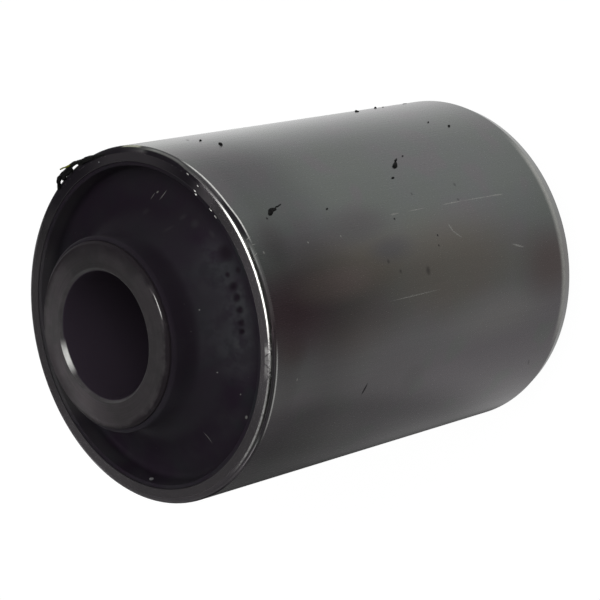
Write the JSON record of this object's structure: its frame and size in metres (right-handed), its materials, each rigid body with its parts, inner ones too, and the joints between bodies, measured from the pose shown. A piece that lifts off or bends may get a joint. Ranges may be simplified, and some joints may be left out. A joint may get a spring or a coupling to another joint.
{
  "type": "spring bushing",
  "caption": "Bonded rubber and steel bush for a leaf spring eye: outer press-fit sleeve, dished rubber and a proud inner sleeve bored for a bolt.",
  "frame": {"origin": "centre of the bolt's bore, at the middle of the bush's length", "axes": "+Z along the bore, towards the end with the rounded rim; X and Y are alike all round"},
  "size_m": [0.058, 0.058, 0.091],
  "materials": {
    "sleeve_steel": "dark satin drawn steel, lightly oiled",
    "bonded_rubber": "matt moulded black rubber",
    "tube_steel": "dull grey cut steel with a thin film of rubber"
  },
  "bodies": {
    "root": {"outer_sleeve": "sleeve_steel", "rubber_element": "bonded_rubber", "inner_sleeve": "tube_steel"}
  },
  "joints": []
}
